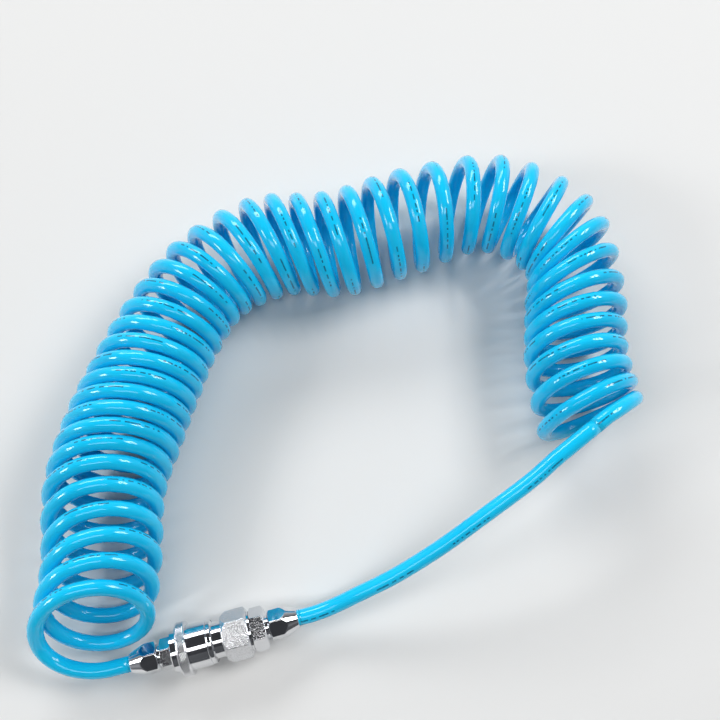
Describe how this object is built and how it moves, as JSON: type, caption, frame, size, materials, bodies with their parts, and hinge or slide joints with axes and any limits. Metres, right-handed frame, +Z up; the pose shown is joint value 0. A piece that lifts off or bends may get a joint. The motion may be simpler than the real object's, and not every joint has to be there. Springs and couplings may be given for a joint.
{
  "type": "coiled air hose",
  "caption": "Coiled polyurethane air hose lying in a U, its ends clamped under nuts and joined by a ball-lock quick coupling with a swivelling plug and a spring sleeve.",
  "frame": {"origin": "under the middle of the coupling, on the surface that the hose lies on", "axes": "+X along the coupling from its plug to its socket, +Z up, the coil behind it towards +Y"},
  "size_m": [0.3503, 0.2402, 0.0604],
  "materials": {
    "hose": "glossy, slightly translucent sky blue polyurethane with small dark ink ticks",
    "plated": "bright nickel or chrome plating, polished on turned faces, pebbled on forged hexagons, knurled grip",
    "spring_steel": "plain spring wire",
    "ball_steel": "polished bearing steel",
    "seal": "black nitrile rubber"
  },
  "bodies": {
    "hose": {"hose_coil": "hose", "hose_tail": "hose"},
    "plug": {"plug_body": "plated", "plug_nut": "plated", "hose_end_plug": "hose"},
    "socket": {"socket_body": "plated", "socket_adaptor": "plated", "socket_nut": "plated", "hose_end_socket": "hose", "nose_ring": "plated", "snap_ring": "spring_steel", "sleeve_spring": "spring_steel", "valve_spring": "spring_steel", "plug_seal": "seal", "adaptor_seal": "plated"},
    "sleeve": {"sleeve": "plated"},
    "valve": {"valve_poppet": "plated", "valve_seal": "seal"},
    "ball_1": {"ball_1": "ball_steel"},
    "ball_2": {"ball_2": "ball_steel"},
    "ball_3": {"ball_3": "ball_steel"},
    "ball_4": {"ball_4": "ball_steel"}
  },
  "joints": [
    {"name": "plug_swivel", "type": "hinge", "parent": "hose", "child": "plug", "pos_m": [-0.043, 0, 0.0135], "axis": [1, 0, 0], "continuous": true},
    {"name": "sleeve_slide", "type": "slide", "parent": "socket", "child": "sleeve", "axis": [1, 0, 0], "range_m": [0, 0.004], "stiffness_N_per_m": 490, "springref_m": -0.004, "deforming": ["sleeve_spring"]},
    {"name": "socket_slide", "type": "slide", "parent": "hose", "child": "socket", "axis": [1, 0, 0], "range_m": [0, 0.003], "deforming": ["hose_tail"]},
    {"name": "valve_slide", "type": "slide", "parent": "socket", "child": "valve", "axis": [-1, 0, 0], "range_m": [0, 0.003], "deforming": ["valve_spring"]},
    {"name": "ball_1_slide", "type": "slide", "parent": "socket", "child": "ball_1", "axis": [0, -0.7071, 0.7071], "range_m": [0, 0.0013]},
    {"name": "ball_2_slide", "type": "slide", "parent": "socket", "child": "ball_2", "axis": [0, -0.7071, -0.7071], "range_m": [0, 0.0013]},
    {"name": "ball_3_slide", "type": "slide", "parent": "socket", "child": "ball_3", "axis": [0, 0.7071, -0.7071], "range_m": [0, 0.0013]},
    {"name": "ball_4_slide", "type": "slide", "parent": "socket", "child": "ball_4", "axis": [0, 0.7071, 0.7071], "range_m": [0, 0.0013]}
  ],
  "couplings": [
    {"joint": "socket_slide", "follows": "sleeve_slide", "ratio": 0.75},
    {"joint": "valve_slide", "follows": "sleeve_slide", "ratio": 0.75},
    {"joint": "ball_1_slide", "follows": "sleeve_slide", "ratio": 0.325},
    {"joint": "ball_2_slide", "follows": "sleeve_slide", "ratio": 0.325},
    {"joint": "ball_3_slide", "follows": "sleeve_slide", "ratio": 0.325},
    {"joint": "ball_4_slide", "follows": "sleeve_slide", "ratio": 0.325}
  ]
}
